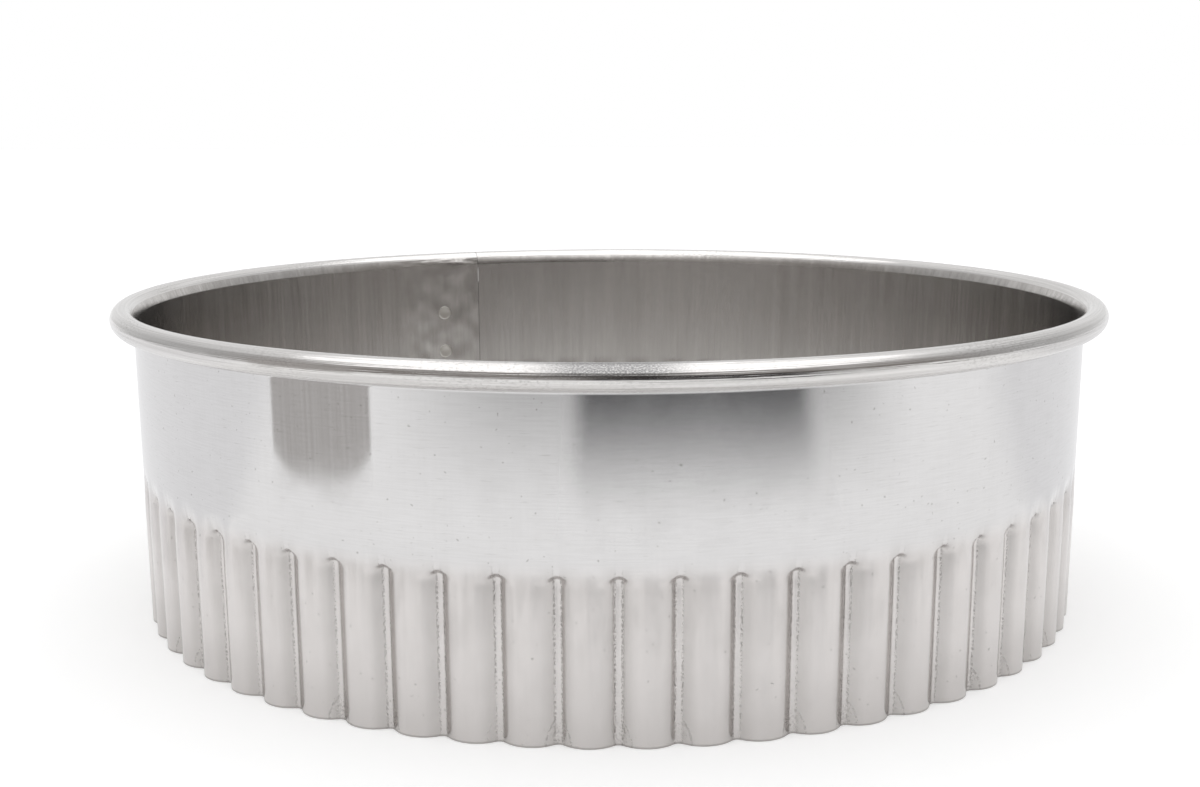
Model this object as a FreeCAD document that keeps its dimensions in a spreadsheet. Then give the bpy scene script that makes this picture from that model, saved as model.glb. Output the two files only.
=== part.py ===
import FreeCAD, Part
import Sketcher
import math
import os

# Fluted biscuit cutter: a strip of stainless sheet, its lower half pressed into flutes, rolled
# into a ring, lapped and spot welded at one seam, its top edge curled round a hoop of wire.
# Lengths in mm, angles in degrees. The ring's axis is Z, the cutting edge lies on Z = 0 and
# the side facing a viewer is -Y.

os.makedirs("parts", exist_ok=True)
doc = FreeCAD.newDocument("biscuit_cutter")
sheet = doc.addObject("Spreadsheet::Sheet", "dims")

DIMENSIONS = (
    ("cut_diameter", "94"),
    ("overall_height", "30.6"),
    ("sheet_gauge", "0.3"),
    # Flutes: count round the ring, crest to groove depth, radius of the groove's bottom
    ("flute_count", "62"),
    ("flute_depth", "0.92"),
    ("groove_radius", "0.6"),
    ("flute_top", "13.1"),
    # Shoulder: how high and how wide a groove's steep upper end is where it meets the plain band
    ("shoulder_height", "1.3"),
    ("shoulder_width", "1.4"),
    # Rolled rim and the wire inside it: the wall leans out a little at the neck below the bead
    ("neck_height", "27.9"),
    ("neck_flare", "0.2"),
    ("bead_diameter", "2.25"),
    ("curl_end_angle", "135"),
    ("wire_clearance", "0.05"),
    ("wire_gap_angle", "0.6"),
    # Lap seam: strip ends, joggle, lap and its spot welds
    ("seam_angle", "111.42"),
    ("slit_width", "0.12"),
    ("joggle_width", "0.4"),
    ("lap_clearance", "0.08"),
    ("lap_flutes", "2"),
    ("lap_top", "26.8"),
    ("weld_count", "5"),
    ("weld_diameter", "1.6"),
    ("weld_dent", "0.05"),
    ("weld_first", "3"),
    ("weld_pitch", "5"),
    # Sizes that follow from those above
    ("crest_radius", "=cut_diameter / 2"),
    ("half_pitch", "=180 / flute_count"),
    ("pitch_angle", "=360 / flute_count"),
    ("shoulder_top", "=flute_top + shoulder_height"),
    ("bead_radius", "=bead_diameter / 2"),
    ("curl_radius", "=bead_radius - sheet_gauge"),
    ("bead_centre_radius", "=crest_radius - sheet_gauge + neck_flare + bead_radius"),
    ("bead_centre_height", "=overall_height - bead_radius"),
    ("wire_radius", "=curl_radius - wire_clearance"),
    ("wire_turn", "=360 - wire_gap_angle"),
    ("lap_offset", "=sheet_gauge + lap_clearance"),
    ("no_offset", "0"),
    ("lap_angle", "=lap_flutes * pitch_angle"),
    ("weld_length", "=sheet_gauge + lap_offset - 2 * weld_dent"),
)
for row, (alias, value) in enumerate(DIMENSIONS, 1):
    sheet.set("A%d" % row, alias)
    sheet.set("B%d" % row, value)
    sheet.setAlias("B%d" % row, alias)
doc.recompute()


def size(alias):
    return float(getattr(sheet, alias))


def new_body(label):
    body = doc.addObject("PartDesign::Body", label)
    body.Label = label
    return body


def origin_plane(body, role):
    return [plane for plane in body.Origin.OriginFeatures if plane.Role == role][0]


def new_sketch(body, name, role):
    sketch = body.newObject("Sketcher::SketchObject", name)
    sketch.AttachmentSupport = [(origin_plane(body, role), "")]
    sketch.MapMode = "FlatFace"
    return sketch


def lift(sketch, level):
    # Raises a sketch of the XY plane to a level and turns it so that a crest lies on X
    sketch.AttachmentOffset = FreeCAD.Placement(
        FreeCAD.Vector(0, 0, size(level)),
        FreeCAD.Rotation(FreeCAD.Vector(0, 0, 1), size("half_pitch")))
    sketch.setExpression("AttachmentOffset.Base.z", "dims." + level)
    sketch.setExpression("AttachmentOffset.Rotation.Angle", "dims.half_pitch")


def drive(sketch, name, expression, *parts):
    # Adds a dimensional constraint, names it and ties it to the sheet
    index = sketch.addConstraint(Sketcher.Constraint(*parts))
    sketch.renameConstraint(index, name)
    sketch.setExpression("Constraints." + name, expression)


def fix(sketch, *constraints):
    for parts in constraints:
        sketch.addConstraint(Sketcher.Constraint(*parts))


def at(radius, angle):
    return FreeCAD.Vector(radius * math.cos(angle), radius * math.sin(angle), 0)


def arc(centre, radius, start, end):
    circle = Part.Circle(centre, FreeCAD.Vector(0, 0, 1), radius)
    return Part.ArcOfCircle(circle, start, end)


def tie_ring(sketch):
    # Joins, end lines and dimensions that both kinds of wall section share: geometry 0 and 1 are
    # the rays at the two crests, 2 to 4 the outer face, 6 to 8 the inner face, 5 and 9 the ends
    fix(sketch,
        ("Coincident", 0, 1, -1, 1), ("Coincident", 1, 1, -1, 1),
        ("Coincident", 0, 2, 4, 2), ("Coincident", 1, 2, 2, 1),
        ("Coincident", 5, 1, 4, 2), ("Coincident", 9, 2, 2, 1),
        ("Coincident", 5, 2, 6, 2), ("Coincident", 8, 1, 9, 1),
        ("Coincident", 6, 3, 4, 3), ("Coincident", 8, 3, 2, 3),
        ("PointOnObject", 5, 2, 0), ("PointOnObject", 9, 1, 1))


def wall_lines(crest, gauge, beta):
    start = FreeCAD.Vector(0, 0, 0)
    rays = [Part.LineSegment(start, at(crest, beta)), Part.LineSegment(start, at(crest, -beta))]
    ends = [Part.LineSegment(at(crest, beta), at(crest - gauge, beta)),
            Part.LineSegment(at(crest - gauge, -beta), at(crest, -beta))]
    return rays, ends


def flute_section(body, name, offset):
    # One pitch of the fluted sheet, crest to crest with the groove in the middle: two lobe arcs
    # tangent to the groove's arc outside, and the same arcs one gauge further in
    crest = size("crest_radius") + size(offset)
    gauge = size("sheet_gauge")
    beta = math.radians(size("half_pitch"))
    groove = size("groove_radius") - size(offset)
    centre = crest - size("flute_depth") + groove
    lobe = ((crest ** 2 + centre ** 2 - 2 * crest * centre * math.cos(beta) - groove ** 2)
            / (2 * (crest + groove - centre * math.cos(beta))))
    hub = FreeCAD.Vector(centre, 0, 0)
    left = at(crest - lobe, -beta)
    right = at(crest - lobe, beta)
    turn = math.atan2(hub.y - left.y, hub.x - left.x)
    rays, ends = wall_lines(crest, gauge, beta)
    sketch = new_sketch(body, name, "XY_Plane")
    lift(sketch, "flute_top")
    sketch.addGeometry(rays, True)
    sketch.addGeometry([
        arc(left, lobe, -beta, turn),
        arc(hub, groove, math.pi - turn, math.pi + turn),
        arc(right, lobe, -turn, beta),
        ends[0],
        arc(right, lobe - gauge, -turn, beta),
        arc(hub, groove + gauge, math.pi - turn, math.pi + turn),
        arc(left, lobe - gauge, -beta, turn),
        ends[1]], False)
    tie_ring(sketch)
    fix(sketch,
        ("Tangent", 2, 2, 3, 2), ("Tangent", 3, 1, 4, 1),
        ("Tangent", 6, 1, 7, 1), ("Tangent", 7, 2, 8, 2),
        ("PointOnObject", 4, 3, 0), ("PointOnObject", 2, 3, 1), ("PointOnObject", 3, 3, -1),
        ("Equal", 0, 1), ("Equal", 5, 9))
    out = "dims.crest_radius + dims." + offset
    inset = "dims.groove_radius - dims." + offset
    drive(sketch, "crest", out, "Distance", 0, crest)
    drive(sketch, "ray_up", "dims.half_pitch", "Angle", 0, beta)
    drive(sketch, "ray_down", "-dims.half_pitch", "Angle", 1, -beta)
    drive(sketch, "gauge", "dims.sheet_gauge", "Distance", 5, gauge)
    drive(sketch, "groove", inset, "Radius", 3, groove)
    drive(sketch, "ridge", inset + " + dims.sheet_gauge", "Radius", 7, groove + gauge)
    drive(sketch, "hub", "%s - dims.flute_depth + %s" % (out, inset), "DistanceX", -1, 1, 3, 3, centre)
    return sketch


def plain_section(body, name, offset):
    # One pitch of the plain band, its faces parted where the lobes and the groove meet below
    crest = size("crest_radius") + size(offset)
    gauge = size("sheet_gauge")
    beta = math.radians(size("half_pitch"))
    half = size("shoulder_width") / 2
    out = math.asin(half / crest)
    inn = math.asin(half / (crest - gauge))
    rays, ends = wall_lines(crest, gauge, beta)
    start = FreeCAD.Vector(0, 0, 0)
    sketch = new_sketch(body, name, "XY_Plane")
    lift(sketch, "shoulder_top")
    sketch.addGeometry(rays, True)
    outer = [arc(start, crest, low, high)
             for low, high in ((-beta, -out), (-out, out), (out, beta))]
    inner = [arc(start, crest - gauge, low, high)
             for low, high in ((inn, beta), (-inn, inn), (-beta, -inn))]
    sketch.addGeometry(outer + [ends[0]] + inner + [ends[1]], False)
    tie_ring(sketch)
    fix(sketch,
        ("Coincident", 4, 3, -1, 1), ("Coincident", 2, 3, -1, 1),
        ("Coincident", 3, 3, -1, 1), ("Coincident", 7, 3, -1, 1),
        ("Coincident", 2, 2, 3, 1), ("Coincident", 3, 2, 4, 1),
        ("Coincident", 8, 2, 7, 1), ("Coincident", 7, 2, 6, 1))
    drive(sketch, "crest", "dims.crest_radius + dims." + offset, "Distance", 0, crest)
    drive(sketch, "ray_up", "dims.half_pitch", "Angle", 0, beta)
    drive(sketch, "ray_down", "-dims.half_pitch", "Angle", 1, -beta)
    drive(sketch, "gauge", "dims.sheet_gauge", "Distance", 5, gauge)
    for name, sign, index, end in (("out_low", -1, 3, 1), ("out_high", 1, 3, 2),
                                   ("in_low", -1, 7, 1), ("in_high", 1, 7, 2)):
        drive(sketch, name, "%d * dims.shoulder_width / 2" % sign, "DistanceY", -1, 1, index, end,
              sign * half)
    return sketch


def revolve(body, name, sketch, angle):
    feature = body.newObject("PartDesign::Revolution", name)
    feature.Profile = sketch
    feature.ReferenceAxis = (sketch, ["V_Axis"])
    feature.setExpression("Angle", angle)
    doc.recompute()


def rectangle(sketch, left, right, low, high):
    # A box of four lines; each side is (expression, value) and lies that far from the origin
    corners = [FreeCAD.Vector(x[1], y[1], 0)
               for x, y in ((left, low), (right, low), (right, high), (left, high))]
    sketch.addGeometry([Part.LineSegment(corners[i], corners[(i + 1) % 4]) for i in range(4)], False)
    fix(sketch, *[("Coincident", i, 2, (i + 1) % 4, 1) for i in range(4)])
    fix(sketch, ("Horizontal", 0), ("Vertical", 1), ("Horizontal", 2), ("Vertical", 3))
    for name, kind, index, side in (("left", "DistanceX", 0, left), ("right", "DistanceX", 2, right),
                                    ("low", "DistanceY", 0, low), ("high", "DistanceY", 2, high)):
        drive(sketch, name, side[0], kind, -1, 1, index, 1, side[1])


def side(expression):
    # The value that an expression of the sheet has now, paired with the expression
    return expression, float(sheet.evalExpression(expression.replace("dims.", "")))


def flutes(body, tag, offset, count, span):
    # The shoulder that leads down from the plain band, the flute below it, and their copies
    plain = plain_section(body, tag + "_plain", offset)
    fluted = flute_section(body, tag + "_fluted", offset)
    shoulder = body.newObject("PartDesign::AdditiveLoft", tag + "_shoulder")
    shoulder.Profile = plain
    shoulder.Sections = [fluted]
    shoulder.Ruled = True
    doc.recompute()
    flute = body.newObject("PartDesign::Pad", tag + "_flute")
    flute.Profile = fluted
    flute.Reversed = True
    flute.setExpression("Length", "dims.flute_top")
    doc.recompute()
    copies = body.newObject("PartDesign::PolarPattern", tag + "_copies")
    copies.Originals = [shoulder, flute]
    copies.Axis = (plain, ["N_Axis"])
    copies.setExpression("Occurrences", count)
    copies.setExpression("Angle", span)
    body.Tip = copies
    doc.recompute()


# The band: plain upper wall, neck and curl, turned about the axis
band = new_body("fluted_band")
wall = new_sketch(band, "wall_section", "XZ_Plane")
crest = size("crest_radius")
gauge = size("sheet_gauge")
foot = size("shoulder_top")
bead = FreeCAD.Vector(size("bead_centre_radius"), size("bead_centre_height"), 0)
neck = FreeCAD.Vector(crest, size("neck_height"), 0)
lean = math.atan2(bead.y - neck.y, bead.x - neck.x) + math.asin(size("curl_radius") / (bead - neck).Length)
touch = lean + math.pi / 2
stop = -math.radians(size("curl_end_angle"))
curl_start = bead + at(size("curl_radius"), touch)
bead_start = bead + at(size("bead_radius"), touch)
curl_stop = bead + at(size("curl_radius"), stop)
bead_stop = bead + at(size("bead_radius"), stop)
inner_neck = bead_start - at((bead_start.x - crest + gauge) / math.cos(lean), lean)
inner_foot = FreeCAD.Vector(crest - gauge, foot, 0)
outer_foot = FreeCAD.Vector(crest, foot, 0)
wall.addGeometry([
    Part.LineSegment(outer_foot, neck),
    Part.LineSegment(neck, curl_start),
    arc(bead, size("curl_radius"), stop, touch),
    Part.LineSegment(curl_stop, bead_stop),
    arc(bead, size("bead_radius"), stop, touch),
    Part.LineSegment(bead_start, inner_neck),
    Part.LineSegment(inner_neck, inner_foot),
    Part.LineSegment(inner_foot, outer_foot)], False)
wall.addGeometry([Part.LineSegment(bead, curl_stop)], True)
fix(wall,
    ("Coincident", 0, 2, 1, 1), ("Tangent", 1, 2, 2, 2), ("Coincident", 2, 1, 3, 1),
    ("Coincident", 3, 2, 4, 1), ("Tangent", 4, 2, 5, 1), ("Coincident", 5, 2, 6, 1),
    ("Coincident", 6, 2, 7, 1), ("Coincident", 7, 2, 0, 1), ("Coincident", 2, 3, 4, 3),
    ("Vertical", 0), ("Vertical", 6), ("Horizontal", 7), ("Parallel", 1, 5),
    ("Coincident", 8, 1, 2, 3), ("Coincident", 8, 2, 3, 1), ("Parallel", 8, 3))
drive(wall, "crest", "dims.crest_radius", "DistanceX", -1, 1, 0, 1, crest)
drive(wall, "inside", "dims.crest_radius - dims.sheet_gauge", "DistanceX", -1, 1, 6, 2, crest - gauge)
drive(wall, "foot", "dims.shoulder_top", "DistanceY", -1, 1, 0, 1, foot)
drive(wall, "neck", "dims.neck_height", "DistanceY", -1, 1, 0, 2, neck.y)
drive(wall, "curl", "dims.curl_radius", "Radius", 2, size("curl_radius"))
drive(wall, "bead", "dims.bead_radius", "Radius", 4, size("bead_radius"))
drive(wall, "out", "dims.bead_centre_radius", "DistanceX", -1, 1, 2, 3, bead.x)
drive(wall, "height", "dims.bead_centre_height", "DistanceY", -1, 1, 2, 3, bead.y)
drive(wall, "lip", "-dims.curl_end_angle", "Angle", 8, stop)
revolve(band, "wall", wall, "360")
flutes(band, "skirt", "no_offset", "dims.flute_count", "360")

# The strip's two ends meet at a slit through wall, curl and flutes
slit = new_sketch(band, "slit_section", "XY_Plane")
rectangle(slit, side("dims.crest_radius - 2 * dims.bead_diameter"),
          side("dims.crest_radius + 2 * dims.bead_diameter"),
          side("dims.no_offset"), side("dims.slit_width"))
cut = band.newObject("PartDesign::Pocket", "slit")
cut.Profile = slit
cut.Reversed = True
cut.setExpression("Length", "dims.overall_height + dims.bead_diameter")
doc.recompute()

# One end steps outward over the other and carries on as the lap
step = new_sketch(band, "joggle_section", "XY_Plane")
rectangle(step, side("dims.crest_radius - dims.sheet_gauge / 2"),
          side("dims.crest_radius + dims.lap_offset"),
          side("-dims.joggle_width"), side("dims.no_offset"))
joggle = band.newObject("PartDesign::Pad", "joggle")
joggle.Profile = step
joggle.setExpression("Length", "dims.lap_top")
doc.recompute()
lap = new_sketch(band, "lap_section", "XZ_Plane")
rectangle(lap, side("dims.crest_radius + dims.lap_clearance"),
          side("dims.crest_radius + dims.lap_offset"),
          side("dims.shoulder_top"), side("dims.lap_top"))
revolve(band, "lap", lap, "dims.lap_angle")
flutes(band, "lap_skirt", "lap_offset", "dims.lap_flutes", "dims.pitch_angle")

# Spot welds go through both layers on the crest in the middle of the lap
spots = new_sketch(band, "weld_spots", "YZ_Plane")
spots.AttachmentOffset = FreeCAD.Placement(
    FreeCAD.Vector(0, 0, 0), FreeCAD.Rotation(FreeCAD.Vector(0, 1, 0), size("pitch_angle")))
spots.setExpression("AttachmentOffset.Rotation.Angle", "dims.pitch_angle")
for index in range(int(size("weld_count"))):
    height = size("weld_first") + index * size("weld_pitch")
    spots.addGeometry(Part.Circle(FreeCAD.Vector(0, height, 0), FreeCAD.Vector(0, 0, 1),
                                  size("weld_diameter") / 2), False)
    fix(spots, ("PointOnObject", index, 3, -2))
    drive(spots, "spot_%d" % index, "dims.weld_diameter", "Diameter", index, size("weld_diameter"))
    drive(spots, "height_%d" % index, "dims.weld_first + %d * dims.weld_pitch" % index,
          "DistanceY", -1, 1, index, 3, height)
holes = band.newObject("PartDesign::Pocket", "weld_holes")
holes.Profile = spots
holes.Reversed = True
holes.setExpression("Length", "dims.cut_diameter")
doc.recompute()

# The wire hoop inside the curl, cut and butted near the seam
hoop = new_body("rim_wire")
ring = new_sketch(hoop, "wire_section", "XZ_Plane")
ring.addGeometry(Part.Circle(bead, FreeCAD.Vector(0, 0, 1), size("wire_radius")), False)
drive(ring, "wire", "dims.wire_radius", "Radius", 0, size("wire_radius"))
drive(ring, "out", "dims.bead_centre_radius", "DistanceX", -1, 1, 0, 3, bead.x)
drive(ring, "up", "dims.bead_centre_height", "DistanceY", -1, 1, 0, 3, bead.y)
revolve(hoop, "wire", ring, "dims.wire_turn")

# Band and hoop are turned so that the seam is at the back, a little to one side
for body in (band, hoop):
    body.Placement = FreeCAD.Placement(
        FreeCAD.Vector(0, 0, 0), FreeCAD.Rotation(FreeCAD.Vector(0, 0, 1), size("seam_angle")))
    body.setExpression("Placement.Rotation.Angle", "dims.seam_angle")

# The weld nuggets, each a short plug whose ends lie a dent's depth below the sheet's faces
welds = []
spoke = FreeCAD.Rotation(FreeCAD.Vector(0, 0, 1), size("seam_angle") + size("pitch_angle"))
outward = spoke.multVec(FreeCAD.Vector(1, 0, 0))
for index in range(int(size("weld_count"))):
    weld = doc.addObject("Part::Cylinder", "seam_weld_%d" % (index + 1))
    weld.Label = weld.Name
    weld.setExpression("Radius", "dims.weld_diameter / 2")
    weld.setExpression("Height", "dims.weld_length")
    height = size("weld_first") + index * size("weld_pitch")
    root = outward * (crest - gauge + size("weld_dent")) + FreeCAD.Vector(0, 0, height)
    weld.Placement = FreeCAD.Placement(root, FreeCAD.Rotation(FreeCAD.Vector(0, 0, 1), outward))
    welds.append(weld)
doc.recompute()

for item in doc.Objects:
    if "Invalid" in item.State or "Error" in item.State:
        raise RuntimeError("%s did not compute: %s" % (item.Name, item.State))
for node in [band, hoop] + welds:
    if node.Shape.isNull() or not node.Shape.isValid() or len(node.Shape.Solids) != 1:
        raise RuntimeError("%s is not one valid solid" % node.Label)
    node.Shape.exportStep("parts/%s.step" % node.Label)
    print(node.Label, round(node.Shape.Volume, 2), "mm3")
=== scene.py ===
import math
from collections import namedtuple

import bpy
import numpy as np
from mathutils import Matrix, Vector


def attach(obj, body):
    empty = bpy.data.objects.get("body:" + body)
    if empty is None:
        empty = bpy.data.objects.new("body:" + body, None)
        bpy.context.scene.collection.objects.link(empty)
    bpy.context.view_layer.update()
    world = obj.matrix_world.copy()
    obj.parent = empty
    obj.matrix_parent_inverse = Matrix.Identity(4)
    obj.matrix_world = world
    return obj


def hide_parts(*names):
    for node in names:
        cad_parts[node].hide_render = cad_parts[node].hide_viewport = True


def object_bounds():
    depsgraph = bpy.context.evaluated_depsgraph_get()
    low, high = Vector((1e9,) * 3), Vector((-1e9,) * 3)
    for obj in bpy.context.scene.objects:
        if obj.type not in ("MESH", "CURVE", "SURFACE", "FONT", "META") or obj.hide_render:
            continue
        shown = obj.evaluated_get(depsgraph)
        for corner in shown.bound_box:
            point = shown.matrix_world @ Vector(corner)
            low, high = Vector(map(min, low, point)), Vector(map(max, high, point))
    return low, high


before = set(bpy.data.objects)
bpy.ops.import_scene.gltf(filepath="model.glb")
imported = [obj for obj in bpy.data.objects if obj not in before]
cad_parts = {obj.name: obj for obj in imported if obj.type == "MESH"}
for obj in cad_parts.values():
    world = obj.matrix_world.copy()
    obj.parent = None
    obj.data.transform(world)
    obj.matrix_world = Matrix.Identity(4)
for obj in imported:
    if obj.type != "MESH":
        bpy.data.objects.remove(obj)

cad_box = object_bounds()

# Sizes in millimetres and angles in radians; meshes are made in metres
MM = 0.001
CREST = 47.0
GAUGE = 0.3
FLUTES = 62
FLUTE_DEPTH = 0.92
GROOVE_RADIUS = 0.6
NECK_HEIGHT = 28.1
INNER_NECK = 29.2
NECK_FLARE = 0.2
BEAD_RADIUS = 1.125
CURL_END = math.radians(-135)
ROLL_START = math.radians(155)

# The seam: a slit, and the strip's other end lapped over the first flutes
SEAM_ANGLE = math.radians(111.42)
SLIT = 0.05
LAP_CLEARANCE = 0.08
LAP_TOP = 26.8
LAP_FLUTES = 2

# The joggle, and how far under the sheet's outer face its own two faces start
JOGGLE_RUN = 0.9
JOGGLE_OUTER_SINK = 0.02
JOGGLE_INNER_SINK = GAUGE * 0.6

# The spot welds; each ring of a weld's end has a share of its radius and a height above its middle
WELD_COUNT = 5
WELD_FIRST = 3.0
WELD_PITCH = 5.0
WELD_RADIUS = 0.8
WELD_PROUD = 0.012
WELD_RINGS = ((0.0, 0.0), (0.35, 0.004), (0.6, 0.012), (0.78, 0.03), (0.9, 0.034), (1.0, 0.012),
              (1.08, -0.05))

# The groove's upper end: a steep curved cap, then a shallow hollow that fades into the band
CAP_HEIGHT = 13.75
CAP_RUN = 0.5
CAP_ARCH = 0.95
CAP_HALF_WIDTH = 0.4
HOLLOW_SHARE = 0.4
HOLLOW_RUN = 2.2
HOLLOW_BELOW_CAP = 1.0
LOBE_BLEND = 0.85

# The pressed part swells a little beyond the band above it
SWELL = 0.07
SWELL_TOP = 14.4
SWELL_RUN = 3.2

# Mesh steps over half a lobe, closer together towards the groove, over a groove and along the joggle;
# the sides of a weld, and the angle from which an edge is sharp
LOBE_STEPS = 5
LOBE_GRADING = 1.4
GROOVE_STEPS = 6
JOGGLE_STEPS = 8
WELD_SIDES = 28
SHARP_ANGLE = math.radians(50)

# Mesh rows: heights up the walls, closest together at the caps, a row just below each neck,
# and how many rows lie round the curl's inside and the bead
LOW_ROWS = [0.0, 1.2, 4.0, 8.0, 11.0, 12.2]
CAP_ROWS = np.arange(12.6, 14.61, 0.12)
OUTER_ROWS = np.concatenate([LOW_ROWS, CAP_ROWS,
                             [14.9, 15.3, 15.8, 16.4, 17.0, 17.6, 20.0, 23.5, 26.2, LAP_TOP]])
INNER_ROWS = np.concatenate([LOW_ROWS, CAP_ROWS[::2],
                             [15.1, 15.8, 16.6, 17.6, 20.0, 23.5, LAP_TOP]])
BELOW_NECK = 0.12
CURL_ROWS = 6
BEAD_ROWS = 30

# Material slots of the band's mesh
OUTER_FACE = 0
RIM_FACE = 1
INNER_FACE = 2

HEIGHT = cad_box[1][2] / MM
PITCH = 2 * math.pi / FLUTES
CURL_RADIUS = BEAD_RADIUS - GAUGE
BEAD_CENTRE = (CREST - GAUGE + NECK_FLARE + BEAD_RADIUS, HEIGHT - BEAD_RADIUS)
LAP_OFFSET = GAUGE + LAP_CLEARANCE


def smooth(t):
    """A smooth step from 0 to 1."""
    t = np.clip(t, 0.0, 1.0)
    return t * t * (3 - 2 * t)


def flute_curve(offset):
    """One pitch of the fluted section, crest to crest: angles and radii of its outer and inner face."""
    crest = CREST + offset
    groove = GROOVE_RADIUS - offset
    half = PITCH / 2
    hub = crest - FLUTE_DEPTH + groove
    # The radius at which the lobes' arcs touch the groove's arc
    lobe = ((crest ** 2 + hub ** 2 - 2 * crest * hub * math.cos(half) - groove ** 2)
            / (2 * (crest + groove - hub * math.cos(half))))
    left = (crest - lobe) * np.array([math.cos(half), -math.sin(half)])
    right = left * (1, -1)
    middle = np.array([hub, 0.0])
    turn = math.atan2(-left[1], hub - left[0])

    def sweep(centre, radius, start, end, steps):
        angles = start + (end - start) * steps
        return centre + radius * np.stack([np.cos(angles), np.sin(angles)], -1)

    graded = np.linspace(0, 1, LOBE_STEPS + 1) ** LOBE_GRADING
    even = np.linspace(0, 1, GROOVE_STEPS + 1)

    faces = []
    for inset in (0.0, GAUGE):
        points = np.concatenate([
            sweep(left, lobe - inset, -half, turn, 1 - graded[::-1])[:-1],
            sweep(middle, groove + inset, math.pi + turn, math.pi - turn, even)[:-1],
            sweep(right, lobe - inset, -turn, half, graded)])
        faces.append((np.arctan2(points[:, 1], points[:, 0]), np.hypot(points[:, 0], points[:, 1])))
    return faces


def groove_share(across, height):
    """How much of the flute's depth is left at a distance across from the groove, at a height."""
    arch = CAP_HEIGHT - across ** 2 / (2 * CAP_ARCH)
    beside = smooth((np.abs(across) - CAP_HALF_WIDTH) / LOBE_BLEND)
    soft = HOLLOW_SHARE + (1 - HOLLOW_SHARE) * beside
    steep = smooth((arch - height) / CAP_RUN + 0.5)
    fade = smooth((CAP_HEIGHT + HOLLOW_RUN - height) / (HOLLOW_RUN + HOLLOW_BELOW_CAP))
    return (1 - soft) * steep + soft * fade


def swell(height):
    """How far the pressed part stands out beyond the band at a height."""
    return SWELL * smooth((SWELL_TOP - height) / SWELL_RUN)


def wall_radius(angle, radius, plain, height):
    """Radius of a face at a height, between the fluted section and the plain band."""
    across = angle * plain
    return plain - (plain - radius) * groove_share(across, height) + swell(height)


def columns(count, offset):
    """Both faces over some flutes from the seam: angles, radii and angles from the nearest groove."""
    faces = []
    for local, radius in flute_curve(offset):
        keep = len(local) - 1
        angle = np.concatenate([local[:keep] + (k + 0.5) * PITCH for k in range(count)]
                               + [[count * PITCH]])
        faces.append({"angle": angle,
                      "radius": np.concatenate([np.tile(radius[:keep], count), radius[-1:]]),
                      "local": np.concatenate([np.tile(local[:keep], count), local[-1:]])})
    return faces


def place(name, mesh):
    """A new object of the scene with a mesh."""
    piece = bpy.data.objects.new(name, mesh)
    bpy.context.scene.collection.objects.link(piece)
    return piece


def grid_mesh(name, rows, materials):
    """A closed loop of rows swept along its columns, with both ends closed.

    The strip attribute of each point is its place along the sheet, up it and away from a groove.
    """
    loop = len(rows)
    width = len(rows[0]["angle"])

    def table(key):
        return np.stack([np.broadcast_to(row[key], width) for row in rows])

    angle = table("angle")
    radius = table("radius")
    turned = angle + SEAM_ANGLE
    points = np.stack([radius * np.cos(turned), radius * np.sin(turned), table("height")], -1) * MM
    strip = np.stack([angle * CREST, table("level"), np.abs(table("local")) * CREST], -1)
    first = np.arange(loop)[:, None] * width
    column = np.arange(width - 1)[None, :]
    low = first + column
    high = np.roll(first, -1, axis=0) + column
    quads = np.stack([low, low + 1, high + 1, high], -1).reshape(-1, 4)
    ends = [[row * width for row in reversed(range(loop))],
            [row * width + width - 1 for row in range(loop)]]
    mesh = bpy.data.meshes.new(name)
    mesh.from_pydata(points.reshape(-1, 3).tolist(), [], quads.tolist() + ends)
    attribute = mesh.attributes.new("strip", "FLOAT_VECTOR", "POINT")
    attribute.data.foreach_set("vector", strip.reshape(-1).astype(np.float32))
    for material in materials:
        mesh.materials.append(material)
    index = np.repeat([row["material"] for row in rows], width - 1).tolist()
    mesh.polygons.foreach_set("material_index", index + [OUTER_FACE] * len(ends))
    mesh.polygons.foreach_set("use_smooth", [True] * len(mesh.polygons))
    mesh.set_sharp_from_angle(angle=SHARP_ANGLE)
    mesh.update()
    return place(name, mesh)


def wall_rows(face, plain, heights, material):
    """Rows of a wall's face at some heights."""
    return [{"angle": face["angle"], "local": face["local"], "material": material,
             "radius": wall_radius(face["local"], face["radius"], plain, z),
             "height": z, "level": z} for z in heights]


def arc_rows(face, radius, angles, material):
    """Rows round the bead's centre, at some angles; their level follows the length of the arc."""
    return [{"angle": face["angle"], "local": face["local"], "material": material,
             "radius": BEAD_CENTRE[0] + radius * math.cos(a),
             "height": BEAD_CENTRE[1] + radius * math.sin(a),
             "level": HEIGHT + radius * (angles[0] - a)} for a in angles]


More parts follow.
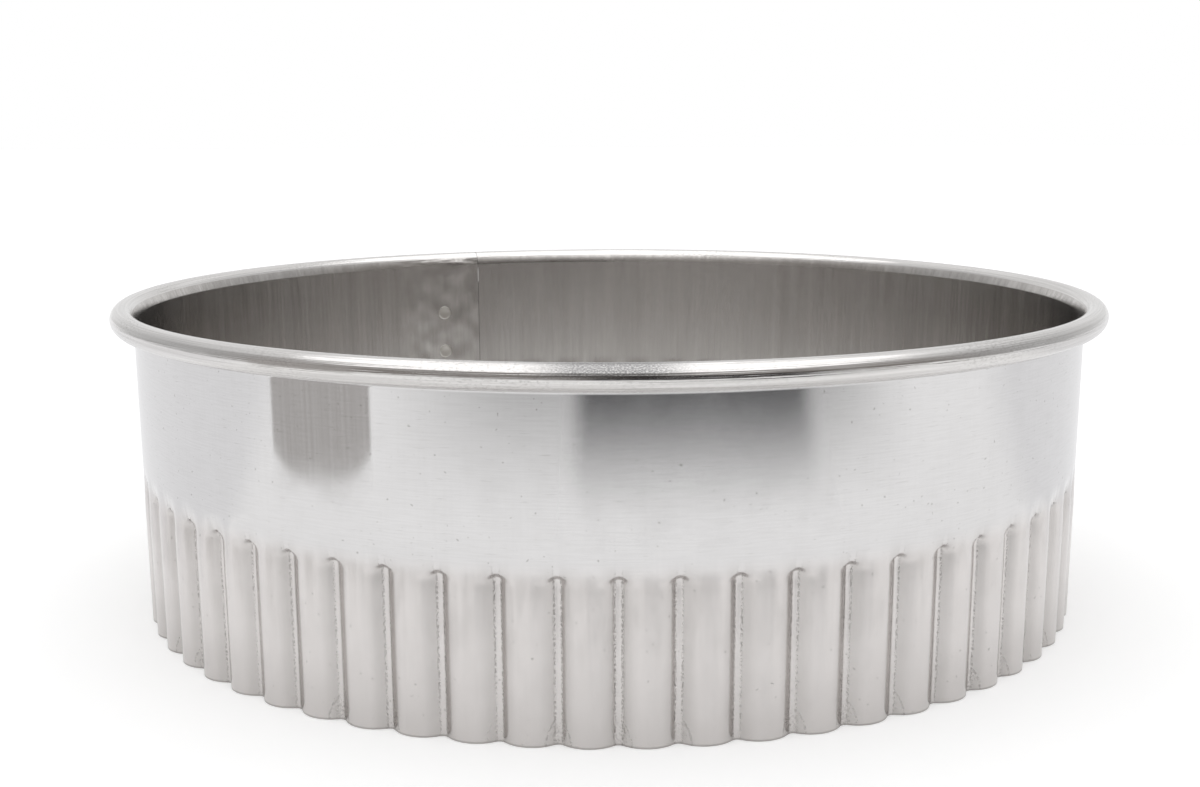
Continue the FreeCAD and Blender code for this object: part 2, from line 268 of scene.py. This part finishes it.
def band_sheet(outer_steel, rim_steel, inner_steel):
    """The whole strip: up the outside, round the curl, down the inside, with a slit at the seam."""
    outer, inner = columns(FLUTES, 0.0)
    for face in (outer, inner):
        face["angle"] = np.maximum(face["angle"], SLIT / CREST)
    # The outer neck leans out along a line that touches the curl's inside
    reach = (BEAD_CENTRE[0] - CREST, BEAD_CENTRE[1] - NECK_HEIGHT)
    lean = math.atan2(reach[1], reach[0]) + math.asin(CURL_RADIUS / math.hypot(*reach))
    touch = lean + math.pi / 2
    rising = np.append(OUTER_ROWS, [NECK_HEIGHT - BELOW_NECK, NECK_HEIGHT])
    falling = np.append(INNER_ROWS, [INNER_NECK - BELOW_NECK, INNER_NECK])[::-1]
    rows = wall_rows(outer, CREST, rising, OUTER_FACE)
    rows += arc_rows(outer, CURL_RADIUS, np.linspace(touch, CURL_END, CURL_ROWS), RIM_FACE)
    rows += arc_rows(inner, BEAD_RADIUS, np.linspace(CURL_END, ROLL_START, BEAD_ROWS), RIM_FACE)
    rows[-1]["material"] = INNER_FACE
    rows += wall_rows(inner, CREST - GAUGE, falling, INNER_FACE)
    piece = grid_mesh("band_sheet", rows, [outer_steel, rim_steel, inner_steel])
    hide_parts("fluted_band")
    return piece


def seam_lap(outer_steel):
    """The strip's outer end: it leaves the wall in a short joggle and lies over the first flutes."""
    outer, inner = columns(LAP_FLUTES, LAP_OFFSET)
    bend = np.linspace(-JOGGLE_RUN, 0.0, JOGGLE_STEPS + 1)[:-1]
    rise = smooth(1 + bend / JOGGLE_RUN)
    along = bend / CREST
    rows = []
    for face, sink, lift, heights in (
            (outer, JOGGLE_OUTER_SINK, LAP_OFFSET, OUTER_ROWS),
            (inner, JOGGLE_INNER_SINK, LAP_CLEARANCE, OUTER_ROWS[::-1])):
        for row in wall_rows(face, CREST + lift, heights, OUTER_FACE):
            joggle = CREST - sink + (lift + sink) * rise + swell(row["height"])
            row["angle"] = np.concatenate([along, row["angle"]])
            row["local"] = np.concatenate([along + PITCH / 2, row["local"]])
            row["radius"] = np.concatenate([joggle, row["radius"]])
            rows.append(row)
    piece = grid_mesh("seam_lap", rows, [outer_steel])
    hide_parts("fluted_band")
    return piece


def weld_mark(number, steel):
    """A spot weld: a plug through both layers whose ends are shallow dishes with a raised ring."""
    outer = flute_curve(LAP_OFFSET)[0]
    inner = flute_curve(0.0)[1]
    height = WELD_FIRST + (number - 1) * WELD_PITCH

    def sheet_radius(face, plain, across, z):
        local = PITCH / 2 - abs(across) / plain
        return float(wall_radius(local, np.interp(local, face[0], face[1]), plain, z))

    points = []
    rows = []
    for face, plain, sign, rings in ((outer, CREST + LAP_OFFSET, 1, WELD_RINGS),
                                     (inner, CREST - GAUGE, -1, WELD_RINGS[::-1])):
        for share, proud in rings:
            row = []
            for k in range(1 if share == 0 else WELD_SIDES):
                turn = 2 * math.pi * k / WELD_SIDES
                across = share * WELD_RADIUS * math.cos(turn)
                z = height + share * WELD_RADIUS * math.sin(turn)
                radius = sheet_radius(face, plain, across, z) + sign * (proud + WELD_PROUD)
                angle = SEAM_ANGLE + PITCH + across / plain
                row.append(len(points))
                points.append((radius * math.cos(angle) * MM, radius * math.sin(angle) * MM, z * MM))
            rows.append(row)
    faces = []
    for a, b in zip(rows, rows[1:]):
        for k in range(WELD_SIDES):
            quad = [a[k % len(a)], b[k % len(b)], b[(k + 1) % len(b)], a[(k + 1) % len(a)]]
            # At a middle point the quad becomes a triangle
            faces.append(list(dict.fromkeys(quad)))
    mesh = bpy.data.meshes.new("weld_mark_%d" % number)
    mesh.from_pydata(points, [], faces)
    mesh.materials.append(steel)
    mesh.polygons.foreach_set("use_smooth", [True] * len(mesh.polygons))
    mesh.update()
    piece = place(mesh.name, mesh)
    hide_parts("seam_weld_%d" % number)
    return piece


def feed(tree, node, inputs):
    """Sets a node's inputs, or links them to outputs of other nodes."""
    for key, value in inputs.items():
        if isinstance(value, bpy.types.NodeSocket):
            tree.links.new(value, node.inputs[key])
        else:
            node.inputs[key].default_value = value


def add(tree, kind, inputs=None, output=0, **settings):
    """A node with its settings, its inputs set or linked; gives one of its outputs."""
    node = tree.nodes.new(kind)
    for key, value in settings.items():
        setattr(node, key, value)
    feed(tree, node, inputs or {})
    return node.outputs[output] if node.outputs else None


def calc(tree, operation, first, second=0.0, third=0.0):
    """The result of one operation on up to three values."""
    return add(tree, "ShaderNodeMath", {0: first, 1: second, 2: third}, operation=operation)


def times(tree, first, *others):
    """The product of some values."""
    for other in others:
        first = calc(tree, "MULTIPLY", first, other)
    return first


def apart(tree, value, centre):
    """The distance of a value from a centre."""
    return calc(tree, "ABSOLUTE", calc(tree, "SUBTRACT", value, centre))


def ramp(tree, value, between, out=(0.0, 1.0)):
    """A smooth ramp between two values, from one output to the other."""
    return add(tree, "ShaderNodeMapRange",
               {"Value": value, "From Min": between[0], "From Max": between[1],
                "To Min": out[0], "To Max": out[1]}, interpolation_type="SMOOTHSTEP")


def split_vector(tree, vector):
    """The three parts of a vector."""
    return tuple(add(tree, "ShaderNodeSeparateXYZ", {0: vector}).node.outputs)


def blend_colour(tree, factor, first, second):
    """A colour between two, the first at factor 0."""
    return add(tree, "ShaderNodeMix", {0: factor, 6: first, 7: second}, output=2, data_type="RGBA")


def bump(tree, height, strength, depth):
    """A bumped normal; its depth is in mm."""
    return add(tree, "ShaderNodeBump",
               {"Height": height, "Strength": strength, "Distance": depth * MM})


def grain(tree, scale, detail=3.0):
    """Noise over an object's own box."""
    return add(tree, "ShaderNodeTexNoise", {"Scale": scale, "Detail": detail})


NOISE_ROUGHNESS = 0.55
Strip = namedtuple("Strip", "place along up away")


def strip_place(tree):
    """The strip attribute in mm: the whole place, then along, up and away from a groove."""
    whole = add(tree, "ShaderNodeAttribute", output="Vector", attribute_name="strip")
    return Strip(whole, *split_vector(tree, whole))


def noise(tree, strip, per_mm, detail=3.0):
    """Noise over the strip, with its own scales per mm along and up."""
    stretched = add(tree, "ShaderNodeVectorMath", {0: strip.place, 1: (*per_mm, 0.0)},
                    operation="MULTIPLY")
    return add(tree, "ShaderNodeTexNoise", {"Vector": stretched, "Scale": 1.0, "Detail": detail,
                                            "Roughness": NOISE_ROUGHNESS})


def pattern(tree, strip, per_mm, between, out=(0.0, 1.0), detail=3.0):
    """Spots or streaks over the strip: noise through a ramp."""
    return ramp(tree, noise(tree, strip, per_mm, detail), between, out)


def new_material(name):
    """A metal, with its node tree and its shader."""
    material = bpy.data.materials.new(name)
    material.use_nodes = True
    tree = material.node_tree
    shader = tree.nodes["Principled BSDF"]
    feed(tree, shader, {"Metallic": 1.0})
    return material, tree, shader


ACROSS_TANGENT = 0.25


def brushed(tree, shader, strength):
    """Brushing that runs round the ring: reflections spread up and down, across it."""
    tangent = add(tree, "ShaderNodeTangent", direction_type="RADIAL", axis="Z")
    feed(tree, shader, {"Tangent": tangent, "Anisotropic": strength,
                        "Anisotropic Rotation": ACROSS_TANGENT})


BAND_TINT = (0.712, 0.704, 0.705, 1)
FLUTE_TINT = (0.748, 0.72, 0.708, 1)
# The dark tint that both real wear and painted shade blend towards
WEAR_AND_SHADE_TINT = (0.36, 0.345, 0.33, 1)
INNER_TINT = (0.635, 0.615, 0.597, 1)
SHADE_TINT = (0.495, 0.477, 0.46, 1)
RIM_TINT = (0.765, 0.75, 0.74, 1)
RIM_REFLECTION_TINT = (0.235, 0.232, 0.232, 1)
WELD_TINT = (0.54, 0.525, 0.505, 1)
STRAW_TINT = (0.66, 0.63, 0.58, 1)

# Places on the strip in mm: the scuffed line beside a groove, the arch of wear round a groove's foot,
# the welds and the painted dark reflection on the rim's top at the front
SCUFF_AWAY = 0.28
FOOT_AWAY = 1.0
FOOT_ARCH = 0.17
WELD_ALONG = PITCH * CREST
RIM_REFLECTION_ALONG = 130.4

# Where looks begin and are full, in mm up the strip
FLUTES_UP = (15.2, 13.0)
INNER_FLUTES_UP = (16.0, 12.5)
LOW_SHADE_UP = (7.0, 0.0)
UPPER_LOBE_SHADE_UP = (5.0, 11.0)
EDGE_UP = (0.22, 0.06)
FOOT_UP = (2.3, 1.9)
FOOT_RUB_UP = (2.4, 1.2)
RIM_REFLECTION_UP = (28.0, 27.6)

# Where looks begin and are full, in mm away from a groove, or from the middle of a line or a place
FOOT_RUB_AWAY = (0.75, 0.3)
# Painted shade beside the grooves and along their caps
SHADED_FLANK_START = (0.22, 0.36)
SHADED_FLANK_END = (1.6, 0.45)
CAP_SHADE_SIDES = (0.8, 0.6)
CAP_SHADE_LINE = (0.3, 0.12)
WEAR_LINE = (0.14, 0.0)
WELD_DENTS = (8.0, 2.0)
RIM_REFLECTION = (7.5, 2.0)

# How much marks roughen the sheet, and the shares of the relief
MARK_ROUGHNESS = 0.25
MARK_RELIEF = 0.8
STREAK_RELIEF = 0.03
INNER_STREAK_RELIEF = 0.15
WAVE_RELIEF = 2.5
DENT_RELIEF = 7.0


def darken_for_wear_and_shade(tree, tint, amount, share):
    """A tint darkened by a share of an amount, used both for real wear and for painted shade."""
    return blend_colour(tree, times(tree, amount, share), tint, WEAR_AND_SHADE_TINT)


def groove_marks(tree, strip, fluted):
    """Scuffed lines beside the grooves, and arches and patches of rubbing at their feet."""
    grit = pattern(tree, strip, per_mm=(8.0, 4.4), between=(0.44, 0.6))
    patchy = pattern(tree, strip, per_mm=(0.2, 0.12), between=(0.3, 0.6), out=(0.25, 1.0), detail=2.0)
    line = ramp(tree, apart(tree, strip.away, SCUFF_AWAY), between=WEAR_LINE)
    scuffs = times(tree, line, grit, fluted, patchy)
    spread = calc(tree, "MULTIPLY_ADD", times(tree, strip.up, strip.up), -FOOT_ARCH, FOOT_AWAY)
    arch = times(tree, ramp(tree, apart(tree, strip.away, spread), between=WEAR_LINE),
                 ramp(tree, strip.up, between=FOOT_UP))
    dark_patch = times(tree, ramp(tree, strip.away, between=FOOT_RUB_AWAY),
                   ramp(tree, strip.up, between=FOOT_RUB_UP), grit)
    foot = times(tree, calc(tree, "MAXIMUM", arch, dark_patch),
                 pattern(tree, strip, per_mm=(0.21, 0.0), between=(0.45, 0.6), detail=1.0),
                 pattern(tree, strip, per_mm=(4.0, 4.0), between=(0.4, 0.65), out=(0.0, 0.7)))
    return calc(tree, "MAXIMUM", scuffs, foot)


def groove_shade(tree, strip, fluted):
    """Painted shade on the flanks of the grooves and along the edges of their caps."""
    flank_shade = times(tree, ramp(tree, strip.away, between=SHADED_FLANK_START),
                  ramp(tree, strip.away, between=SHADED_FLANK_END), fluted)
    squared = times(tree, strip.away, strip.away)
    arch = calc(tree, "MULTIPLY_ADD", squared, -1 / (2 * CAP_ARCH), CAP_HEIGHT)
    cap_shade = times(tree, ramp(tree, apart(tree, strip.up, arch), between=CAP_SHADE_LINE),
                ramp(tree, strip.away, between=CAP_SHADE_SIDES, out=(0.0, 1.4)))
    return calc(tree, "MAXIMUM", flank_shade, cap_shade)


def band_scratches(tree, strip, fluted):
    """Scratches and brushing along the plain band."""
    scratches = pattern(tree, strip, per_mm=(0.6, 6.0), between=(0.62, 0.74), detail=2.0)
    brushing = pattern(tree, strip, per_mm=(0.3, 7.0), between=(0.35, 0.7), out=(0.0, 0.35))
    plain = calc(tree, "SUBTRACT", 1.0, fluted)
    return times(tree, calc(tree, "MAXIMUM", scratches, brushing), plain)


def outer_material():
    """Satin band above, duller pressed flutes below, with scuffs along the grooves."""
    material, tree, shader = new_material("outer_steel")
    brushed(tree, shader, strength=0.9)
    strip = strip_place(tree)
    fluted = ramp(tree, strip.up, between=FLUTES_UP)
    mottle = noise(tree, strip, per_mm=(0.35, 0.25))
    streaks = noise(tree, strip, per_mm=(3.5, 0.12))
    specks = pattern(tree, strip, per_mm=(2.4, 2.4), between=(0.715, 0.77), detail=1.0)
    # Painted shade, mottled, over the upper part of the lobes
    upper_lobe_shade = times(tree, pattern(tree, strip, per_mm=(0.8, 0.17), between=(0.42, 0.7)), fluted,
                    ramp(tree, strip.up, between=UPPER_LOBE_SHADE_UP))
    marks = groove_marks(tree, strip, fluted)
    tint = blend_colour(tree, fluted, BAND_TINT, FLUTE_TINT)
    tint = darken_for_wear_and_shade(tree, tint, ramp(tree, mottle, between=(0.35, 0.7)), share=0.03)
    # Painted shade: the flutes darken towards the floor, standing in for the dimmer reflection near
    # where the ring stands
    tint = darken_for_wear_and_shade(tree, tint, ramp(tree, strip.up, between=LOW_SHADE_UP), share=0.22)
    tint = darken_for_wear_and_shade(tree, tint, ramp(tree, streaks, between=(0.35, 0.75)), share=0.035)
    tint = darken_for_wear_and_shade(tree, tint, upper_lobe_shade, share=0.16)
    # Painted shade on the flanks of the grooves and along the steep ends of their caps
    tint = darken_for_wear_and_shade(tree, tint, groove_shade(tree, strip, fluted), share=0.27)
    tint = darken_for_wear_and_shade(tree, tint, marks, share=0.68)
    tint = darken_for_wear_and_shade(tree, tint, specks, share=0.6)
    tint = darken_for_wear_and_shade(tree, tint, band_scratches(tree, strip, fluted), share=0.25)
    tint = darken_for_wear_and_shade(tree, tint, ramp(tree, strip.up, between=EDGE_UP), share=0.7)
    rough = ramp(tree, fluted, between=(0.0, 1.0), out=(0.075, 0.25))
    rough = calc(tree, "ADD", rough, ramp(tree, mottle, between=(0.3, 0.7), out=(-0.015, 0.015)))
    rough = calc(tree, "ADD", rough, times(tree, marks, MARK_ROUGHNESS))
    relief = calc(tree, "SUBTRACT", times(tree, streaks, STREAK_RELIEF),
                  times(tree, marks, MARK_RELIEF))
    feed(tree, shader, {"Base Color": tint, "Roughness": rough,
                        "Normal": bump(tree, relief, strength=0.25, depth=0.06)})
    return material


def rim_material():
    """The rolled rim: polished, with fine lines running round it, zones of wear, and a speckled painted
    dark reflection on its top at the front.
    """
    material, tree, shader = new_material("rim_steel")
    brushed(tree, shader, strength=0.3)
    strip = strip_place(tree)
    lines = noise(tree, strip, per_mm=(0.06, 5.0))
    zones = pattern(tree, strip, per_mm=(0.07, 0.0), between=(0.45, 0.62), out=(0.15, 0.7), detail=1.0)
    wear = times(tree, zones,
                 pattern(tree, strip, per_mm=(2.6, 6.0), between=(0.45, 0.68), detail=4.0))
    specks = pattern(tree, strip, per_mm=(6.0, 13.0), between=(0.35, 0.6), out=(0.55, 1.0), detail=2.0)
    # Painted reflection: a dark speckled patch on the rim's top at the front, standing in for the
    # mirrored things on the camera's side
    dark_patch = times(tree, ramp(tree, apart(tree, strip.along, RIM_REFLECTION_ALONG), between=RIM_REFLECTION),
                   ramp(tree, strip.up, between=RIM_REFLECTION_UP), specks)
    tint = darken_for_wear_and_shade(tree, RIM_TINT, ramp(tree, lines, between=(0.3, 0.7)), share=0.35)
    tint = darken_for_wear_and_shade(tree, tint, wear, share=0.55)
    tint = blend_colour(tree, dark_patch, tint, RIM_REFLECTION_TINT)
    feed(tree, shader, {"Base Color": tint,
                        "Roughness": ramp(tree, wear, between=(0.0, 1.0), out=(0.11, 0.3)),
                        "Normal": bump(tree, lines, strength=1.0, depth=0.04)})
    return material


def inner_material():
    """The inside of the ring: smoother sheet with upright waves from rolling, dented near the welds."""
    material, tree, shader = new_material("inner_steel")
    brushed(tree, shader, strength=0.8)
    strip = strip_place(tree)
    waves = noise(tree, strip, per_mm=(0.45, 0.03))
    streaks = noise(tree, strip, per_mm=(1.6, 0.06))
    dents = noise(tree, strip, per_mm=(0.32, 0.2), detail=1.0)
    by_welds = ramp(tree, apart(tree, strip.along, WELD_ALONG), between=WELD_DENTS)
    pale = times(tree, ramp(tree, dents, between=(0.52, 0.72), out=(0.0, 0.6)), by_welds)
    tint = blend_colour(tree, ramp(tree, streaks, between=(0.3, 0.75)), INNER_TINT, SHADE_TINT)
    tint = blend_colour(tree, ramp(tree, waves, between=(0.35, 0.7), out=(0.0, 0.6)), tint, SHADE_TINT)
    tint = blend_colour(tree, pale, tint, FLUTE_TINT)
    fluted = ramp(tree, strip.up, between=INNER_FLUTES_UP)
    rough = calc(tree, "ADD", ramp(tree, fluted, between=(0.0, 1.0), out=(0.2, 0.34)),
                 ramp(tree, streaks, between=(0.3, 0.7), out=(-0.03, 0.03)))
    relief = calc(tree, "ADD", times(tree, waves, WAVE_RELIEF),
                  times(tree, streaks, INNER_STREAK_RELIEF))
    relief = calc(tree, "ADD", relief, times(tree, dents, by_welds, DENT_RELIEF))
    feed(tree, shader, {"Base Color": tint, "Roughness": rough,
                        "Normal": bump(tree, relief, strength=0.3, depth=0.12)})
    return material


def weld_material():
    """Spot welds: greyer than the sheet, with a straw tint from the heat."""
    material, tree, shader = new_material("weld_steel_look")
    spots = grain(tree, scale=900.0)
    tint = blend_colour(tree, ramp(tree, spots, between=(0.35, 0.65)), WELD_TINT, STRAW_TINT)
    feed(tree, shader, {"Base Color": tint,
                        "Roughness": ramp(tree, spots, between=(0.3, 0.7), out=(0.28, 0.45))})
    return material


def wire_material():
    """The drawn wire inside the rim, seen only at the gap of the seam."""
    material, tree, shader = new_material("wire_steel_look")
    drawn = grain(tree, scale=400.0)
    feed(tree, shader, {"Base Color": blend_colour(tree, drawn, WELD_TINT, FLUTE_TINT),
                        "Roughness": ramp(tree, drawn, between=(0.2, 0.8), out=(0.25, 0.4))})
    return material


# The object
outer_steel = outer_material()
pieces = [band_sheet(outer_steel, rim_material(), inner_material()), seam_lap(outer_steel)]
weld_steel = weld_material()
for number in range(1, WELD_COUNT + 1):
    mark = weld_mark(number, weld_steel)
    pieces.append(mark)
for piece in pieces:
    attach(piece, "root")
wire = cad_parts["rim_wire"]
wire.data.materials.clear()
wire.data.materials.append(wire_material())

# The stage: a pale floor that keeps the object's shadow, and a room round it.
# The floor's sizes are in metres; it glows a little to the camera and in reflections
FLOOR_HALF = 2.0
FLOOR_DROP = 0.02 * MM
FLOOR_SHADES = ((0.90, 0.90, 0.90, 1), (0.92, 0.92, 0.92, 1))
FLOOR_GLOW_SEEN = 0.24
FLOOR_GLOW_MIRRORED = 0.17
WHITE = (1, 1, 1, 1)


def floor_material():
    """Matt and almost white, with a faint glow."""
    material = bpy.data.materials.new("floor_white")
    material.use_nodes = True
    tree = material.node_tree
    tree.nodes.clear()
    path = tree.nodes.new("ShaderNodeLightPath")
    shade = blend_colour(tree, grain(tree, scale=60.0, detail=2.0), *FLOOR_SHADES)
    matt = add(tree, "ShaderNodeBsdfDiffuse", {"Color": shade})
    strength = times(tree, path.outputs["Is Glossy Ray"], FLOOR_GLOW_MIRRORED)
    strength = calc(tree, "MULTIPLY_ADD", path.outputs["Is Camera Ray"], FLOOR_GLOW_SEEN, strength)
    glow = add(tree, "ShaderNodeEmission", {"Color": WHITE, "Strength": strength})
    both = add(tree, "ShaderNodeAddShader", {0: matt, 1: glow})
    add(tree, "ShaderNodeOutputMaterial", {"Surface": both})
    return material


floor_corners = [(-FLOOR_HALF, -FLOOR_HALF, -FLOOR_DROP), (FLOOR_HALF, -FLOOR_HALF, -FLOOR_DROP),
                 (FLOOR_HALF, FLOOR_HALF, -FLOOR_DROP), (-FLOOR_HALF, FLOOR_HALF, -FLOOR_DROP)]
floor_mesh = bpy.data.meshes.new("floor")
floor_mesh.from_pydata(floor_corners, [], [(0, 1, 2, 3)])
floor_mesh.materials.append(floor_material())
place("floor", floor_mesh)

# The room in reflections: its colours low down and of its dark area, and its light on matt things
ROOM_FRONT = (0.285, 0.268, 0.255, 1)
ROOM_SIDE = (0.5, 0.5, 0.5, 1)
ROOM_BACK = (0.85, 0.85, 0.85, 1)
ROOM_DARK = (0.05, 0.042, 0.039, 1)
ROOM_LIGHT = 0.65

# Where those colours change: turns from the front in radians, positive to the right, and rises,
# from 0 for level to 1 for straight up
FRONT_TO_SIDE = (1.1, 1.9)
SIDE_TO_BACK = (1.9, 2.8)
LOW_TO_HIGH = (0.3, 0.95)
DARK_LEFT = (-0.1, 0.05)
DARK_RIGHT = (0.9, 0.7)
DARK_TOP = (0.62, 0.05)


def studio_world():
    """A room that is white to the camera.

    In reflections it is dim low in front, lighter to the sides and the back, white above, and has
    a dark area low in front, on the right. Front is the camera's side.
    """
    world = bpy.data.worlds.new("studio")
    bpy.context.scene.world = world
    world.use_nodes = True
    tree = world.node_tree
    tree.nodes.clear()
    path = tree.nodes.new("ShaderNodeLightPath")
    right, back, rise = split_vector(tree, add(tree, "ShaderNodeTexCoord", output="Generated"))
    turn = calc(tree, "ARCTAN2", right, times(tree, back, -1.0))
    aside = calc(tree, "ABSOLUTE", turn)
    low = blend_colour(tree, ramp(tree, aside, between=FRONT_TO_SIDE), ROOM_FRONT, ROOM_SIDE)
    low = blend_colour(tree, ramp(tree, aside, between=SIDE_TO_BACK), low, ROOM_BACK)
    room = blend_colour(tree, ramp(tree, rise, between=LOW_TO_HIGH), low, WHITE)
    dark = times(tree, ramp(tree, turn, between=DARK_LEFT), ramp(tree, turn, between=DARK_RIGHT),
                 ramp(tree, rise, between=DARK_TOP))
    room = blend_colour(tree, dark, room, ROOM_DARK)
    seen = add(tree, "ShaderNodeBackground", {"Color": WHITE, "Strength": 1.0})
    mirrored = add(tree, "ShaderNodeBackground", {"Color": room, "Strength": 1.0})
    light = add(tree, "ShaderNodeBackground", {"Color": WHITE, "Strength": ROOM_LIGHT})
    shown = add(tree, "ShaderNodeMixShader", {0: path.outputs["Is Diffuse Ray"], 1: mirrored, 2: light})
    shown = add(tree, "ShaderNodeMixShader", {0: path.outputs["Is Camera Ray"], 1: shown, 2: seen})
    add(tree, "ShaderNodeOutputWorld", {"Surface": shown})


def soft_sun(name, toward, spread, strength):
    """A wide, even light from above: its direction, its spread and its strength."""
    light = bpy.data.lights.new(name, "SUN")
    light.angle = spread
    light.energy = strength
    lamp = bpy.data.objects.new(name, light)
    bpy.context.scene.collection.objects.link(lamp)
    lamp.rotation_euler = Vector(toward).to_track_quat("-Z", "Y").to_euler()


# Cards that only reflections show; those on the floor run from a near radius to a far one, in mm
CARD_CELLS = 12
CARD_FAR = 1500
CARD_ROUND_POWER = 4.0


def floor_sector(start, end, near, lift):
    """Places just above the floor, between two turns in degrees to the right of the camera's side."""
    def spot(across, up):
        turn = math.radians(start + (end - start) * across)
        radius = near * (CARD_FAR / near) ** up
        return radius * math.sin(turn), -radius * math.cos(turn), lift
    return spot


def upright_card(left, right, height):
    """Places on an upright card: its two feet on the floor and its height."""
    def spot(across, up):
        return (left[0] + (right[0] - left[0]) * across, left[1] + (right[1] - left[1]) * across,
                height * up)
    return spot


def card_material(name, shade, left, right, foot, rounding, stripes):
    """A plain shade that fades in from both sides and from its foot, with faint stripes."""
    material = bpy.data.materials.new(name)
    material.use_nodes = True
    tree = material.node_tree
    tree.nodes.clear()
    across, up, _ = split_vector(tree, add(tree, "ShaderNodeTexCoord", output="UV"))
    aside = calc(tree, "ABSOLUTE", calc(tree, "MULTIPLY_ADD", across, 2.0, -1.0))
    lowered = calc(tree, "MULTIPLY_ADD", calc(tree, "POWER", aside, CARD_ROUND_POWER), -rounding, up)
    streak = add(tree, "ShaderNodeTexNoise", {"W": times(tree, across, stripes), "Scale": 1.0,
                                              "Detail": 3.0}, noise_dimensions="1D")
    cover = times(tree, ramp(tree, across, between=(0.0, left)),
                  ramp(tree, across, between=(1.0, 1.0 - right)),
                  ramp(tree, lowered, between=(0.0, foot)),
                  ramp(tree, streak, between=(0.3, 0.7), out=(0.86, 1.0)))
    plain = add(tree, "ShaderNodeEmission", {"Color": (*shade, 1), "Strength": 1.0})
    clear = add(tree, "ShaderNodeBsdfTransparent")
    mixed = add(tree, "ShaderNodeMixShader", {0: cover, 1: clear, 2: plain})
    add(tree, "ShaderNodeOutputMaterial", {"Surface": mixed})
    return material


def reflected_card(name, spot, shade, left, right, foot, rounding=0.0, stripes=2.0):
    """A card seen only in reflections, over the places in mm that spot gives.

    Its sides and its foot fade in over shares of its width and height, the corners of its foot are
    rounded by a share of its height, and stripes says how closely streaks lie across it.
    """
    mesh = bpy.data.meshes.new(name)
    steps = np.linspace(0, 1, CARD_CELLS + 1)
    spots = [(u, v) for v in steps for u in steps]
    points = [[length * MM for length in spot(u, v)] for u, v in spots]
    row = CARD_CELLS + 1
    cells = [(k, k + 1, k + 1 + row, k + row) for k in range(CARD_CELLS * row) if k % row != CARD_CELLS]
    mesh.from_pydata(points, [], cells)
    layer = mesh.uv_layers.new(name="card")
    for loop in mesh.loops:
        layer.data[loop.index].uv = spots[loop.vertex_index]
    mesh.materials.append(card_material(name, shade, left, right, foot, rounding, stripes))
    card = place(name, mesh)
    card.visible_camera = False
    card.visible_diffuse = False
    card.visible_shadow = False


studio_world()
soft_sun("top_light", toward=(0.02, 0.14, -0.95), spread=math.radians(86), strength=1.0)
reflected_card("card_soft", floor_sector(-52, 66, near=107, lift=0.5),
               shade=(0.53, 0.53, 0.53), left=0.33, right=0.22, foot=0.3)
reflected_card("card_front", floor_sector(-8.5, 41.5, near=107, lift=0.7),
               shade=(0.02, 0.021, 0.026), left=0.11, right=0.11, foot=0.33)
reflected_card("card_side_left", floor_sector(-165, -68, near=62, lift=0.3),
               shade=(0.91, 0.91, 0.92), left=0.3, right=0.1, foot=0.1)
reflected_card("card_side_right", floor_sector(78, 165, near=62, lift=0.3),
               shade=(0.9, 0.9, 0.91), left=0.2, right=0.3, foot=0.1)
reflected_card("card_left", upright_card((-112.5, -50.4), (-88, -94.2), height=60),
               shade=(0.475, 0.458, 0.445), left=0.03, right=0.03, foot=0.03,
               rounding=0.065, stripes=36.0)

# The camera, at the photograph's place in mm; pixel sizes are of the 1200 by 787 frame
FRAME_WIDTH = 1200.0
FRAME_MIDDLE = 393.5
FOCAL_PIXELS = 1560.9
AXIS_PIXEL = 466.0
SENSOR_WIDTH = 36.0
CLIP_START = 5 * MM
CAMERA_PLACE = (0.48, -160.56, 48.40)
CAMERA_PITCH = 0.2231
CAMERA_YAW = -0.0086
CAMERA_ROLL = -0.0038


def photo_camera():
    """The scene's camera, from its place, pitch, yaw and roll."""
    data = bpy.data.cameras.new("camera")
    data.sensor_fit = "HORIZONTAL"
    data.sensor_width = SENSOR_WIDTH
    data.lens = FOCAL_PIXELS / FRAME_WIDTH * SENSOR_WIDTH
    data.shift_y = (AXIS_PIXEL - FRAME_MIDDLE) / FRAME_WIDTH
    data.clip_start = CLIP_START
    camera = bpy.data.objects.new("camera", data)
    bpy.context.scene.collection.objects.link(camera)
    forward = Vector((math.sin(CAMERA_YAW) * math.cos(CAMERA_PITCH),
                      math.cos(CAMERA_YAW) * math.cos(CAMERA_PITCH), -math.sin(CAMERA_PITCH)))
    right = Vector((math.cos(CAMERA_YAW), -math.sin(CAMERA_YAW), 0))
    up = right.cross(forward)
    across = math.cos(CAMERA_ROLL) * right + math.sin(CAMERA_ROLL) * up
    above = math.cos(CAMERA_ROLL) * up - math.sin(CAMERA_ROLL) * right
    turn = Matrix((across, above, -forward)).transposed().to_4x4()
    camera.matrix_world = Matrix.Translation(Vector(CAMERA_PLACE) * MM) @ turn
    bpy.context.scene.camera = camera


photo_camera()
bpy.context.scene.view_settings.view_transform = "Standard"
